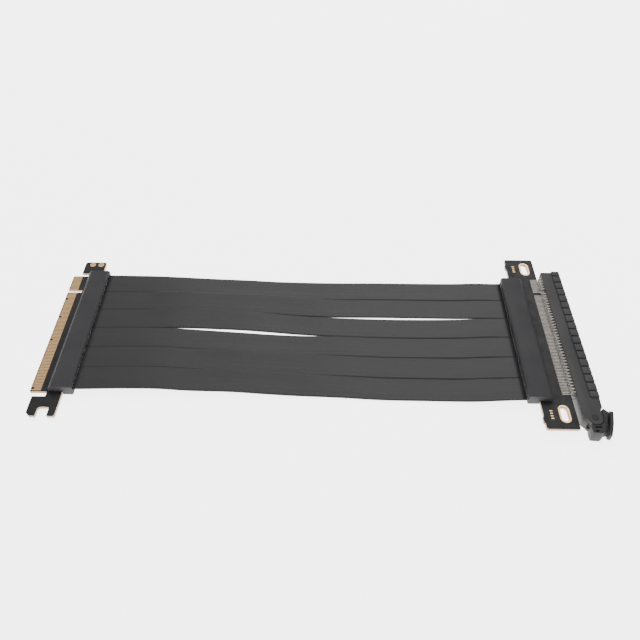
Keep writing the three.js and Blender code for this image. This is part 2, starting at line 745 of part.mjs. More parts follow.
for (let i = 0; i < ribbonCount; i += 1) {
  const plugEnd = ribbonEnd(plugMouldCableFace, -1, plugRibbonTop, plugBoardTop, plugPlaces[i]);
  const slotEnd = ribbonEnd(slotMouldCableFace, 1, slotRibbonTop, slotBoardTop, slotPlaces[i]);
  riser.add(mesh(`plug_ribbon_end_${i + 1}`, plugEnd, tinnedLook));
  riser.add(mesh(`slot_ribbon_end_${i + 1}`, slotEnd, tinnedLook));
}

// The origin is the middle of the footprint of the rigid pieces, on the table
const footprint = new THREE.Box3().setFromObject(riser);
for (let i = 0; i < ribbonCount; i += 1) riser.add(mesh(`ribbon_${i + 1}`, ribbon(i), ribbonLook));
riser.position.set(
  -(footprint.min.x + footprint.max.x) / 2,
  -(footprint.min.y + footprint.max.y) / 2,
  -footprint.min.z,
);

export default riser;
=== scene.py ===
import math

import bmesh
import bpy
from mathutils import Matrix, Vector
from mathutils.geometry import tessellate_polygon


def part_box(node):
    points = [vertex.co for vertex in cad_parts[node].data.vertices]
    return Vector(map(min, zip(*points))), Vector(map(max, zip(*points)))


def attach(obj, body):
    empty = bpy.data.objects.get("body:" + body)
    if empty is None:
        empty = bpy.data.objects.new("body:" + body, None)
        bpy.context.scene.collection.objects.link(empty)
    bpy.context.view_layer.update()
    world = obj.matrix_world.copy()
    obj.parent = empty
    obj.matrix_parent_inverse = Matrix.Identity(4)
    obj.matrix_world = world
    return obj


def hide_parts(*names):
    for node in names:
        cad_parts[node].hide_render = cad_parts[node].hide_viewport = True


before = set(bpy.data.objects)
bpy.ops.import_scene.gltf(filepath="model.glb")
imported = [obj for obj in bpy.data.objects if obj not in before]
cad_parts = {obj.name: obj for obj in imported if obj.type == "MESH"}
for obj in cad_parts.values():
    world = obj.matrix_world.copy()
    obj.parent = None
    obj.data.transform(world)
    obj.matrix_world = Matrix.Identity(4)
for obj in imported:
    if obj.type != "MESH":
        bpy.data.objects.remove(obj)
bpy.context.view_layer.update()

# Where the cable lies. Sizes are in millimetres, as on its drawing: along the cable from the tongue's outer
# edge, across it from the tongue's middle line, and up from the table. at() turns them into the frame's
# metres.
contact_pitch = 1.0
contacts = 82
contacts_before_key = 11
key_step = 3.0
first_contact = ((contacts - 2) * contact_pitch + key_step) / 2
housing_end_wall = 3.75
tongue_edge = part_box("plug_board")[0].x
tongue_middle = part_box("slot_housing")[1].y - (first_contact + housing_end_wall) / 1000


def at(along, across, height):
    return Vector((tongue_edge + along / 1000, tongue_middle + across / 1000, height / 1000))


# The camera of the photograph: it stands at the near side, a little left of the middle, and looks down on the
# cable at about 47 degrees. The lens is a little longer than the sensor is wide.
camera_place = at(149.8, -246.1, 277.7)
camera_pitch = math.radians(47.05)
camera_yaw = math.radians(0.6)
camera_roll = math.radians(0.42)
camera_data = bpy.data.cameras.new("camera")
camera_data.sensor_width = 36
camera_data.lens = 37.704
camera_data.clip_start = 0.01
camera = bpy.data.objects.new("camera", camera_data)
bpy.context.scene.collection.objects.link(camera)
level = Vector((math.cos(camera_yaw), math.sin(camera_yaw), 0))
ahead = Vector((-math.sin(camera_yaw), math.cos(camera_yaw), 0))
upright = Vector((0, 0, 1))
forward = ahead * math.cos(camera_pitch) - upright * math.sin(camera_pitch)
above = ahead * math.sin(camera_pitch) + upright * math.cos(camera_pitch)
side_axis = level * math.cos(camera_roll) + above * math.sin(camera_roll)
top_axis = above * math.cos(camera_roll) - level * math.sin(camera_roll)
turned = Matrix((side_axis, top_axis, -forward)).transposed().to_4x4()
camera.matrix_world = Matrix.Translation(camera_place) @ turned
bpy.context.scene.camera = camera

# Studio: a white sheet under the cable, an even white surround and two large soft lamps, one above the far
# side and one above the viewer, so that the black plastic shows its edges and hardly throws a shadow.
floor_half = 6.0
floor_drop = 0.0003
floor_mesh = bpy.data.meshes.new("floor")
floor_corners = [
    (-floor_half, -floor_half), (floor_half, -floor_half),
    (floor_half, floor_half), (-floor_half, floor_half),
]
floor_mesh.from_pydata([(x, y, -floor_drop) for x, y in floor_corners], [], [(0, 1, 2, 3)])
floor = bpy.data.objects.new("floor", floor_mesh)
bpy.context.scene.collection.objects.link(floor)
paper = bpy.data.materials.new("paper")
paper.use_nodes = True
paper_shader = paper.node_tree.nodes["Principled BSDF"]
paper_shader.inputs["Base Color"].default_value = (0.92, 0.92, 0.92, 1)
paper_shader.inputs["Roughness"].default_value = 0.9
paper_shader.inputs["Specular IOR Level"].default_value = 0.1
paper_shader.inputs["Emission Color"].default_value = (1, 1, 1, 1)
paper_shader.inputs["Emission Strength"].default_value = 4.0
floor_mesh.materials.append(paper)

surround = bpy.data.worlds.new("surround")
surround.use_nodes = True
surround.node_tree.nodes["Background"].inputs["Color"].default_value = (1, 1, 1, 1)
surround.node_tree.nodes["Background"].inputs["Strength"].default_value = 0.7
bpy.context.scene.world = surround


def soft_lamp(name, place, target, size, watts):
    data = bpy.data.lights.new(name, "AREA")
    data.size = size
    data.energy = watts
    lamp = bpy.data.objects.new(name, data)
    lamp.location = place
    lamp.rotation_euler = (Vector(target) - Vector(place)).to_track_quat("-Z", "Y").to_euler()
    bpy.context.scene.collection.objects.link(lamp)


soft_lamp("far_lamp", (0.15, 0.75, 0.95), (0, 0, 0), 0.9, 9)
soft_lamp("near_lamp", (-0.35, -0.7, 0.9), (0, 0, 0), 0.8, 2)

# Ribbons: six flat cables side by side, each of twenty-eight fine wires under one black jacket that shows
# them as ribs. They leave the plug's moulding, sink to the table and rise again to the slot's moulding.
ribbon_count = 6
ribbon_pitch = 13.95
ribbon_width = 14.1
ribbon_thickness = 1.0
ribbon_wires = 28
ribbon_rib = 0.07
ribbon_steps = 84
plug_cable_face = 22.0
slot_cable_face = 252.0
ribbon_gap = 0.08
route_along = [22, 26, 48, 65, 80, 103, 120, 136, 158, 180, 202, 225, 238, 248, 252]
route_top = [4.6, 4.62, 4.8, 4.6, 4.0, 2.9, 2.0, 1.3, 1.15, 1.15, 1.15, 1.9, 3.5, 5.1, 5.3]
route_across = [
    [34.9, 34.9, 35.4, 35.6, 35.6, 35.3, 35.1, 35.4, 35.5, 35.0, 34.0],
    [21.1, 21.1, 21.6, 21.8, 21.8, 21.5, 21.2, 21.6, 21.6, 21.0, 20.0],
    [7.3, 7.3, 7.8, 8.0, 8.0, 7.4, 6.4, 6.1, 6.1, 5.8, 5.2],
    [-6.5, -6.5, -6.7, -7.4, -7.8, -7.8, -7.7, -7.8, -7.9, -8.3, -8.9],
    [-20.4, -20.4, -20.6, -21.2, -21.6, -21.6, -21.6, -22.1, -22.3, -22.7, -23.2],
    [-34.3, -34.3, -34.5, -35.1, -35.5, -35.5, -35.6, -36.5, -36.7, -37.2, -37.6],
]
# How far each ribbon really strays from that route, and how high its far edge rides on its neighbour.
stray = [
    [-0.2, -0.6, -1.3, -1.3, -1.3, -0.7, -0.4, -0.3, -0.3, -0.3, -0.3],
    [0, 0.3, -0.3, -0.2, 0, -0.3, -0.35, -0.5, -0.45, -0.55, -0.5],
    [0, 0.6, 0.5, 0.5, 0, -0.2, -0.1, -0.35, -0.3, 0, 0.1],
    [-0.1, 0.2, 0, 0.1, 0.1, 0.1, 0.1, -0.45, -0.4, -0.15, 0],
    [0, 0.3, 0.1, 0.5, 0.5, 0.4, 0.2, -0.1, 0, 0, 0.1],
    [0.2, 0.4, 0.2, 1.2, 1.2, 0.9, 0.4, 0.25, 0.3, 0.25, 0.25],
]
ride = [
    [0, 0, 0, 0, 0, 0, 0, 0, 0, 0, 0],
    [0, 1.05, 1.1, 1.1, 1.1, 0.95, 0, 0, 0, 0, 0],
    [0, 1.05, 1.1, 1.05, 0.2, 0, 0, 0, 0, 0, 0],
    [0, 0, 0, 0, 0, 0, 0, 0, 0, 0, 0],
    [0, 0, 0.2, 1.0, 1.05, 0.95, 0, 0, 0, 0, 0],
    [0, 0, 0.2, 1.0, 1.05, 0.9, 0, 0, 0, 0, 0],
]


class Socket:
    """An output in a node tree that can be reckoned with like a number."""

    def __init__(self, nodes, socket):
        self.nodes = nodes
        self.socket = socket

    def math(self, operation, other=0.0):
        return self.nodes.node("ShaderNodeMath", {"operation": operation}, {0: self, 1: other})

    def __add__(self, other):
        return self.math("ADD", other)

    __radd__ = __add__

    def __sub__(self, other):
        return self.math("SUBTRACT", other)

    def __rsub__(self, other):
        return self.nodes.node("ShaderNodeMath", {"operation": "SUBTRACT"}, {0: other, 1: self})

    def __mul__(self, other):
        return self.math("MULTIPLY", other)

    __rmul__ = __mul__


class Nodes:
    """A node tree that is built one node at a time."""

    def __init__(self, tree):
        self.tree = tree

    def node(self, kind, settings=None, inputs=None, output=0):
        node = self.tree.nodes.new(kind)
        for key, value in (settings or {}).items():
            if key == "stops":
                for element, (place, colour) in zip(node.color_ramp.elements, value):
                    element.position = place
                    element.color = colour
            else:
                setattr(node, key, value)
        for key, value in (inputs or {}).items():
            if isinstance(value, Socket):
                self.tree.links.new(value.socket, node.inputs[key])
            else:
                node.inputs[key].default_value = value
        return Socket(self, node.outputs[output])


class Finish(Nodes):
    """A surface finish: one shader with its constants set, and node patterns that feed what varies."""

    def __init__(self, name, roughness=0.5, metallic=0.0, specular=0.5):
        self.material = bpy.data.materials.new(name)
        self.material.use_nodes = True
        super().__init__(self.material.node_tree)
        self.shader = self.tree.nodes["Principled BSDF"]
        self.shader.inputs["Roughness"].default_value = roughness
        self.shader.inputs["Metallic"].default_value = metallic
        self.shader.inputs["Specular IOR Level"].default_value = specular

    def feed(self, name, value):
        self.tree.links.new(value.socket, self.shader.inputs[name])

    def place(self):
        return self.node("ShaderNodeTexCoord", None, None, "Object")

    def parts(self, vector):
        split = self.node("ShaderNodeSeparateXYZ", None, {0: vector}).socket.node
        return [Socket(self, output) for output in split.outputs]

    def vector(self, x, y, z):
        return self.node("ShaderNodeCombineXYZ", None, {0: x, 1: y, 2: z})

    def noise(self, vector, scale, detail=3.0):
        return self.node("ShaderNodeTexNoise", None, {"Vector": vector, "Scale": scale, "Detail": detail})

    def blend(self, share, first, second):
        return self.node("ShaderNodeMix", {"data_type": "RGBA"}, {0: share, 6: first, 7: second}, 2)

    def step(self, value, low, high, first=0.0, last=1.0):
        return self.node("ShaderNodeMapRange", {"clamp": True},
                         {"Value": value, 1: low, 2: high, 3: first, 4: last})

    def raise_by(self, height, distance, strength=1.0):
        bump = self.node("ShaderNodeBump", None,
                         {"Height": height, "Distance": distance, "Strength": strength})
        self.feed("Normal", bump)


def jacket_finish():
    """Satin black vinyl with its wires showing as fine ribs along the ribbon; the grooves between the ribs
    carry painted shade.
    """
    finish = Finish("black_jacket", specular=0.26)
    along, across, _ = finish.parts(finish.node("ShaderNodeUVMap", {"uv_map": "lay"}))
    # The rib pattern raises each rib in the bump; in the colour it is painted shade, darker in the grooves
    # between the wires.
    rib_height_and_groove_shade = (across * (ribbon_wires * 2 * math.pi)).math("COSINE") * -0.5 + 0.5
    streak = finish.noise(finish.vector(along * 6, across * 46, 0.3), 1.0, 4.0)
    cloud = finish.noise(finish.vector(along * 22, across * 2, 4.7), 1.0, 2.0)
    grain = finish.noise(finish.place(), 2600, 2.0)
    # Colour: painted shade in the rib grooves, mixed with random lengthwise streaks and clouds of tone.
    streaks_and_groove_shade = rib_height_and_groove_shade * 0.3 + streak * 0.55 + cloud * 0.3
    tone = finish.blend(finish.step(streaks_and_groove_shade, 0.2, 0.95), (0.023, 0.0226, 0.024, 1), (0.047, 0.0462, 0.0485, 1))
    finish.feed("Base Color", tone)
    finish.feed("Roughness", finish.step(streak + grain * 0.3, 0.3, 0.9, 0.50, 0.36))
    finish.raise_by(rib_height_and_groove_shade * 0.6 + grain * 0.25, 0.00004, 0.5)
    return finish.material


def eased(stations, values, along):
    """A smooth value between stations, whose slope at each is the mean of its two sides."""
    last = len(stations) - 1
    i = max([k for k in range(last) if stations[k] <= along], default=0)
    run = stations[i + 1] - stations[i]
    t = (along - stations[i]) / run

    def slope(k):
        low, high = max(k - 1, 0), min(k + 1, last)
        return (values[high] - values[low]) / (stations[high] - stations[low])

    rise = values[i + 1] - values[i]
    a, b = slope(i) * run, slope(i + 1) * run
    return values[i] + a * t + (3 * rise - 2 * a - b) * t ** 2 + (a + b - 2 * rise) * t ** 3


def ribbon_section():
    """Points round the section, each (across from the middle, height from the middle), ribs on both faces."""
    half = ribbon_thickness / 2
    flat = ribbon_width / 2 - half * 0.8
    third = ribbon_width / ribbon_wires / 3
    face = []
    for k in range(ribbon_wires * 3 + 1):
        y = -ribbon_width / 2 + k * third
        if abs(y) <= flat:
            face.append((y, half - (ribbon_rib if k % 3 == 0 else 0)))
    edge = []
    for step in range(1, 6):
        angle = math.radians(90 - step * 30)
        y = ribbon_width / 2 - half * 0.8 + half * 0.8 * math.cos(angle)
        edge.append((y, half * 0.86 * math.sin(angle)))
    section = face + edge + [(y, -z) for y, z in reversed(face)] + [(-y, -z) for y, z in edge]
    return section


def ribbon_middle(index, along):
    end = ribbon_pitch * ((ribbon_count - 1) / 2 - index)
    plug, slot = end + 0.1, end - 3.0
    route = [plug, plug] + route_across[index] + [slot, slot]
    drift = [0, 0] + stray[index] + [0, 0]
    lift = [0, 0] + ride[index] + [0, 0]
    return (eased(route_along, route, along) + eased(route_along, drift, along),
            eased(route_along, route_top, along) - ribbon_thickness / 2,
            max(0.0, eased(route_along, lift, along)))


def new_piece(name, mesh, material, body="riser"):
    """A finished mesh as a piece that rides on a body."""
    piece = bpy.data.objects.new(name, mesh)
    bpy.context.scene.collection.objects.link(piece)
    if material and not mesh.materials:
        mesh.materials.append(material)
    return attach(piece, body) or piece


def ribbon_piece(index, material):
    section = ribbon_section()
    start, end = plug_cable_face + ribbon_gap, slot_cable_face - ribbon_gap
    shell = bmesh.new()
    lay = shell.loops.layers.uv.new("lay")
    rings, path = [], []
    for step in range(ribbon_steps + 1):
        along = start + (end - start) * step / ribbon_steps
        across, height, lift = ribbon_middle(index, along)
        path.append(at(along, across, height + lift / 2))
        rings.append([
            shell.verts.new(at(along, across + y, height + z + lift * (y / ribbon_width + 0.5)))
            for y, z in section])
    count = len(section)

    def place_on(face, stations):
        for loop, (ring, k) in zip(face.loops, stations):
            run = ring * (end - start) / ribbon_steps / 1000
            loop[lay].uv = (run, section[k % count][0] / ribbon_width + 0.5)

    for step in range(ribbon_steps):
        for k in range(count):
            corners = [(step, k), (step, k + 1), (step + 1, k + 1), (step + 1, k)]
            face = shell.faces.new([rings[r][c % count] for r, c in corners])
            face.smooth = True
            place_on(face, corners)
    for ring in (0, ribbon_steps):
        corners = [(ring, k) for k in range(count)]
        place_on(shell.faces.new([rings[ring][k] for _, k in corners]), corners)
    bmesh.ops.recalc_face_normals(shell, faces=shell.faces)
    mesh = bpy.data.meshes.new(f"ribbon_jacket_{index + 1}")
    shell.to_mesh(mesh)
    shell.free()
    piece = new_piece(f"ribbon_jacket_{index + 1}", mesh, material)
    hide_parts(f"ribbon_{index + 1}")
    return piece


black_jacket = jacket_finish()
for index in range(ribbon_count):
    ribbon_piece(index, black_jacket)

# Ribbon ends: inside the mouldings each jacket is stripped, and its tinned wires lie side by side on the
# board. The solids stay as they are; the finish shows jacket where the jacket is and bright wires beyond it,
# with painted shade darkening the metal between the wires.
jacket_end = 4.6
jacket_cut_blur = 0.0001


def stripped_end_finish():
    finish = Finish("stripped_end", roughness=0.35)
    x, y, _ = finish.parts(finish.place())
    plug_cut = at(plug_cable_face - jacket_end, 0, 0).x
    slot_cut = at(slot_cable_face + jacket_end, 0, 0).x
    plug_side = finish.step(x, plug_cut, plug_cut + jacket_cut_blur)
    slot_side = finish.step(x, slot_cut - jacket_cut_blur, slot_cut)
    jacket = plug_side * (1 - slot_side)
    # Stripes across the wires: each wire is raised and bright, with painted shade in the grooves between
    # them.
    wire_height_and_gap_shade = (y * (2 * math.pi * ribbon_wires / ribbon_width * 1000)).math("COSINE") * 0.5 + 0.5
    wire_metal_and_gap_shade = finish.blend(wire_height_and_gap_shade, (0.25, 0.24, 0.22, 1), (0.72, 0.70, 0.66, 1))
    finish.feed("Base Color", finish.blend(jacket, wire_metal_and_gap_shade, (0.045, 0.045, 0.046, 1)))
    finish.feed("Metallic", 1 - jacket)
    finish.raise_by(wire_height_and_gap_shade, 0.0001, 0.6)
    return finish.material


stripped_end = stripped_end_finish()
for index in range(ribbon_count):
    for end in ("plug", "slot"):
        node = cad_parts[f"{end}_ribbon_end_{index + 1}"]
        node.data.materials.clear()
        node.data.materials.append(stripped_end)

# Plug board: glass-fibre board with matt black solder mask, routed to shape, with its pinkish tan laminate
# bare round the edge. Its tongue carries gold fingers on both faces and has a bevelled leading edge.
board_thickness = 1.6
plug_board_low = 1.0
plug_board_top = plug_board_low + board_thickness
plug_board_depth = 16.8
tongue_side = first_contact + 1.1
tongue_root = 8.95
key_middle = first_contact - (contacts_before_key - 1) * contact_pitch - key_step / 2
key_half = 0.95
key_depth = 8.25
hook_far = -tongue_side - 2.9
hook_near = hook_far - 12.0
hook_set_back = 2.1
notch_start, notch_end = 7.1, 12.8
notch_top = hook_near + 5.4
tab_near = tongue_side + 2.45
tab_far = tab_near + 9.95
tab_start = 4.5
board_corner = 1.2
tab_holes = [(9.0, tab_far - 2.2), (14.0, tab_far - 2.2)]
hole_radius = 0.95
ring_radius = 1.7
plating = 0.05
finger_length = 5.6
finger_width = 0.7
short_fingers = [17, 31, 48, 81]
short_set_back = 1.9
leading_edge_depth = 0.2
leading_edge_share = 0.68
plug_outline = [
    (0, -tongue_side, 0.5), (tongue_root, -tongue_side, 0.7), (tongue_root, hook_far, 0.7),
    (hook_set_back, hook_far, 0.6), (hook_set_back, hook_near + 2.1), (hook_set_back + 2.1, hook_near),
    (notch_start, hook_near, 0.4), (notch_start, notch_top, 1.9), (notch_end, notch_top, 0.8),
    (notch_end, hook_near, 0.4), (plug_board_depth, hook_near, board_corner),
    (plug_board_depth, tab_far, board_corner), (tab_start, tab_far, board_corner), (tab_start, tab_near, 0.6),
    (tongue_root, tab_near, 0.7), (tongue_root, tongue_side, 0.7), (0, tongue_side, 0.5),
    (0, key_middle + key_half, 0.3), (key_depth, key_middle + key_half, 0.6),
    (key_depth, key_middle - key_half, 0.6), (0, key_middle - key_half, 0.3),
]


def rounded(points, steps=6):
    """Outline through points (along, across), or (along, across, radius) where the corner is rounded."""
    result = []
    for i, (x, y, *radius) in enumerate(points):
        if not radius:
            result.append((x, y))
            continue
        corner = Vector((x, y))
        before = corner + (Vector(points[i - 1][:2]) - corner).normalized() * radius[0]
        after = corner + (Vector(points[(i + 1) % len(points)][:2]) - corner).normalized() * radius[0]
        for step in range(steps + 1):
            t = step / steps
            result.append(tuple(before * (1 - t) ** 2 + corner * 2 * t * (1 - t) + after * t ** 2))
    return result


def circle(x, y, radius, half_slot=0.0, steps=28):
    """A round hole, or a slotted one whose ends lie half_slot from its middle."""
    result = []
    for k in range(steps):
        angle = 2 * math.pi * (k + 0.5) / steps
        stretch = half_slot if math.sin(angle) > 0 else -half_slot
        result.append((x + radius * math.cos(angle), y + radius * math.sin(angle) + stretch))
    return result


def slab(name, outline, holes, low, high):
    """Flat sheet with holes between two heights; its side walls take the second material."""
    loops = [outline] + holes
    places = [point for loop in loops for point in loop]
    triangles = tessellate_polygon([[Vector((x, y, 0)) for x, y in loop] for loop in loops])
    shell = bmesh.new()
    top = [shell.verts.new(at(x, y, high)) for x, y in places]
    bottom = [shell.verts.new(at(x, y, low)) for x, y in places]
    for a, b, c in triangles:
        shell.faces.new((top[a], top[b], top[c]))
        shell.faces.new((bottom[c], bottom[b], bottom[a]))
    first = 0
    for loop in loops:
        for k in range(len(loop)):
            a, b = first + k, first + (k + 1) % len(loop)
            wall = shell.faces.new((top[a], bottom[a], bottom[b], top[b]))
            wall.material_index = 1
        first += len(loop)
    bmesh.ops.recalc_face_normals(shell, faces=shell.faces)
    bmesh.ops.dissolve_limit(shell, angle_limit=0.01, verts=shell.verts, edges=shell.edges,
                             delimit={"MATERIAL"})
    mesh = bpy.data.meshes.new(name)
    shell.to_mesh(mesh)
    shell.free()
    return mesh


def worked(name, mesh, materials, modifiers, body="riser", smooth=40):
    """A mesh with its modifiers worked in, as a plain piece that rides on a body."""
    draft = bpy.data.objects.new(name + "_draft", mesh)
    bpy.context.scene.collection.objects.link(draft)
    if not mesh.materials:
        for material in materials:
            mesh.materials.append(material)
    for kind, settings in modifiers:
        modifier = draft.modifiers.new(kind.lower(), kind)
        for key, value in settings.items():
            setattr(modifier, key, value)
    graph = bpy.context.evaluated_depsgraph_get()
    result = bpy.data.meshes.new_from_object(draft.evaluated_get(graph))
    result.name = name
    bpy.data.objects.remove(draft)
    if smooth:
        result.shade_smooth()
        result.set_sharp_from_angle(angle=math.radians(smooth))
    return new_piece(name, result, None, body)


def broken_edge(width, segments=2):
    """The small round that every moulded or routed edge has."""
    return ("BEVEL", {"width": width / 1000, "segments": segments, "limit_method": "ANGLE",
                      "angle_limit": math.radians(40), "miter_outer": "MITER_ARC", "use_clamp_overlap": True})


def mask_finish():
    finish = Finish("solder_mask", specular=0.25)
    place = finish.place()
    mottle = finish.noise(place, 240, 4.0)
    weave = finish.node("ShaderNodeTexWave", {"wave_type": "BANDS", "bands_direction": "DIAGONAL"},
                        {"Vector": place, "Scale": 900, "Distortion": 1.5, "Detail": 1.0}, 1)
    tone = finish.blend(finish.step(mottle, 0.3, 0.7), (0.014, 0.014, 0.0145, 1), (0.022, 0.0215, 0.022, 1))
    finish.feed("Base Color", tone)
    finish.feed("Roughness", finish.step(mottle, 0.3, 0.7, 0.62, 0.5))
    finish.raise_by(weave * 0.3 + finish.noise(place, 3200, 2.0) * 0.4, 0.00003, 0.5)
    return finish.material


def laminate_finish():
    finish = Finish("laminate", roughness=0.7, specular=0.3)
    x, y, z = finish.parts(finish.place())
    layers = (z * (2 * math.pi / 0.0004)).math("SINE") * 0.5 + 0.5
    fibres = finish.noise(finish.vector(x * 1.0, y * 1.0, z * 6), 1800, 2.0)
    tone = finish.blend(layers * 0.45 + fibres * 0.5, (0.33, 0.22, 0.16, 1), (0.62, 0.45, 0.35, 1))
    finish.feed("Base Color", tone)
    finish.raise_by(fibres, 0.00006, 0.6)
    return finish.material


def gold_finish():
    finish = Finish("contact_gold", metallic=0.85, specular=0.5)
    place = finish.place()
    rub = finish.noise(place, 700, 3.0)
    tone = finish.blend(finish.step(rub, 0.3, 0.7), (0.90, 0.54, 0.25, 1), (0.98, 0.66, 0.34, 1))
    finish.feed("Base Color", tone)
    finish.feed("Roughness", finish.step(rub, 0.3, 0.7, 0.42, 0.3))
    finish.raise_by(finish.noise(place, 4000, 2.0), 0.00002, 0.4)
    return finish.material


solder_mask = mask_finish()
laminate = laminate_finish()
contact_gold = gold_finish()
board_piece = worked(
    "plug_board_panel",
    slab("plug_board_panel", rounded(plug_outline), [circle(x, y, hole_radius) for x, y in tab_holes],
         plug_board_low, plug_board_top),
    [solder_mask, laminate], [broken_edge(0.12, 1)])
# The tongue's bevel: its leading edge keeps only a share of the board's thickness.
for vertex in board_piece.data.vertices:
    if (vertex.co.x - tongue_edge) * 1000 < leading_edge_depth:
        middle = (plug_board_low + plug_board_top) / 2000
        vertex.co.z = middle + (vertex.co.z - middle) * leading_edge_share
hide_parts("plug_board")

for number, (x, y) in enumerate(tab_holes):
    for side, low in enumerate([plug_board_top, plug_board_low - plating]):
        hole = circle(x, y, hole_radius + 0.02)
        ring = slab("hole_ring", circle(x, y, ring_radius), [hole], low, low + plating)
        worked(f"hole_ring_{number + 1}_{side + 1}", ring, [contact_gold] * 2, [broken_edge(0.02, 1)])

# Contact rows: every contact is a flat strip that follows one side view, laid again at each place of the row,
# with the wider step over the key. The gold fingers of the tongue are such strips, lying on the board.
row_inputs = [
    ("Contacts", "NodeSocketInt"), ("Pitch", "NodeSocketFloat"), ("Before Key", "NodeSocketInt"),
    ("Key Step", "NodeSocketFloat"), ("First", "NodeSocketInt"), ("Every", "NodeSocketInt"),
    ("Long Ones", "NodeSocketFloat"), ("Short Ones", "NodeSocketFloat"),
    ("Width", "NodeSocketFloat"), ("Thickness", "NodeSocketFloat"), ("Bend", "NodeSocketFloat"),
    ("Finish", "NodeSocketMaterial"),
]


def contact_row_tree():
    tree = bpy.data.node_groups.new("contact_row", "GeometryNodeTree")
    tree.interface.new_socket("Side View", in_out="INPUT", socket_type="NodeSocketGeometry")
    for name, kind in row_inputs:
        tree.interface.new_socket(name, in_out="INPUT", socket_type=kind)
    tree.interface.new_socket("Row", in_out="OUTPUT", socket_type="NodeSocketGeometry")
    nodes = Nodes(tree)
    given = tree.nodes.new("NodeGroupInput")
    value = {name: Socket(nodes, given.outputs[name]) for name in ["Side View"] + [n for n, _ in row_inputs]}
    offset = nodes.node("ShaderNodeCombineXYZ", None, {1: value["Pitch"] * -1})
    line = nodes.node("GeometryNodeMeshLine", {"mode": "OFFSET", "count_mode": "TOTAL"},
                      {"Count": value["Contacts"], "Offset": offset})
    index = nodes.node("GeometryNodeInputIndex")
    beyond = index.math("GREATER_THAN", value["Before Key"] - 0.5)
    jump = nodes.node("ShaderNodeCombineXYZ", None, {1: beyond * (value["Pitch"] - value["Key Step"])})
    places = nodes.node("GeometryNodeSetPosition", None, {"Geometry": line, "Offset": jump})
    turn = (index - value["First"] + 1).math("FLOORED_MODULO", value["Every"]).math("LESS_THAN", 0.5)
    short = 0
    for number in short_fingers:
        matched = nodes.node("ShaderNodeMath", {"operation": "COMPARE"}, {0: index, 1: number - 1, 2: 0.5})
        short = matched + short
    wanted = value["Long Ones"] * (1 - short) + value["Short Ones"] * short
    chosen = (turn * wanted).math("GREATER_THAN", 0.5)
    bent = nodes.node("GeometryNodeFilletCurve", {"mode": "POLY"},
                      {"Curve": nodes.node("GeometryNodeMeshToCurve", None, {"Mesh": value["Side View"]}),
                       "Count": 3, "Radius": value["Bend"], "Limit Radius": True})
    profile = nodes.node("GeometryNodeCurvePrimitiveQuadrilateral", None,
                         {"Width": value["Width"], "Height": value["Thickness"]})
    strip = nodes.node("GeometryNodeCurveToMesh", None,
                       {"Curve": bent, "Profile Curve": profile, "Fill Caps": True})
    laid = nodes.node("GeometryNodeInstanceOnPoints", None,
                      {"Points": places, "Selection": chosen, "Instance": strip})
    real = nodes.node("GeometryNodeRealizeInstances", None, {"Geometry": laid})
    done = nodes.node("GeometryNodeSetMaterial", None, {"Geometry": real, "Material": value["Finish"]})
    tree.links.new(done.socket, tree.nodes.new("NodeGroupOutput").inputs["Row"])
    return tree


contact_row = contact_row_tree()


def row_of(name, side_view, width, thickness, bend, finish, first=1, every=1, long_ones=1, short_ones=1):
    """One row of strips as a piece; side_view is (along, height) of the first contact's middle line."""
    mesh = bpy.data.meshes.new(name)
    line = [at(x, first_contact, z) for x, z in side_view]
    mesh.from_pydata(line, [(k, k + 1) for k in range(len(line) - 1)], [])
    draft = bpy.data.objects.new(name + "_draft", mesh)
    bpy.context.scene.collection.objects.link(draft)
    modifier = draft.modifiers.new("row", "NODES")
    modifier.node_group = contact_row
    values = {
        "Contacts": contacts, "Pitch": contact_pitch / 1000, "Before Key": contacts_before_key,
        "Key Step": key_step / 1000, "First": first, "Every": every, "Width": width / 1000,
        "Long Ones": float(long_ones), "Short Ones": float(short_ones),
        "Thickness": thickness / 1000, "Bend": bend / 1000, "Finish": finish,
    }
    for item in contact_row.interface.items_tree:
        if item.in_out == "INPUT" and item.name in values:
            modifier[item.identifier] = values[item.name]
    graph = bpy.context.evaluated_depsgraph_get()
    result = bpy.data.meshes.new_from_object(draft.evaluated_get(graph))
    result.name = name
    bpy.data.objects.remove(draft)
    return new_piece(name, result, finish)


finger_lift = 0.02
finger_thickness = 0.06
finger_start = 0.7
for side, face in (("upper", plug_board_top + finger_lift), ("lower", plug_board_low - finger_lift)):
    long_finger = [(finger_start, face), (finger_length, face)]
    short_finger = [(short_set_back, face), (finger_length, face)]
    size = (finger_width, finger_thickness, 0)
    row_of(f"{side}_fingers", long_finger, *size, contact_gold, short_ones=0)
    row_of(f"{side}_short_fingers", short_finger, *size, contact_gold, long_ones=0)

# Mouldings: black plastic cast round each board's soldered edge and the stripped ribbons, with a sloped
# board side and a fine spark-eroded texture. Each is a bar of one section with its edges broken, hollowed
# for the board and the ribbons as its CAD solid is.


def solid_copy(node):
    """The CAD solid's own shape, its loose triangles merged into whole faces."""
    shell = bmesh.new()
    shell.from_mesh(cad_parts[node].data)
    bmesh.ops.remove_doubles(shell, verts=shell.verts, dist=2e-6)
    bmesh.ops.dissolve_limit(shell, angle_limit=math.radians(0.6), verts=shell.verts, edges=shell.edges)
    mesh = bpy.data.meshes.new(node + "_copy")
    shell.to_mesh(mesh)
    shell.free()
    mesh.materials.clear()
    return mesh


def moulded_finish(name, dark, light, scale, roughness):
    """Moulded black plastic: fine texture, faint flow marks and slightly paler worn spots."""
    finish = Finish(name, specular=0.1)
    place = finish.place()
    texture = finish.noise(place, scale, 3.0)
    flow = finish.noise(place, 35, 3.0)
    finish.feed("Base Color", finish.blend(finish.step(flow + texture * 0.4, 0.4, 1.0), dark, light))
    finish.feed("Roughness", finish.step(flow, 0.3, 0.7, roughness + 0.05, roughness - 0.05))
    finish.raise_by(texture, 0.00005, 0.55)
    return finish.material


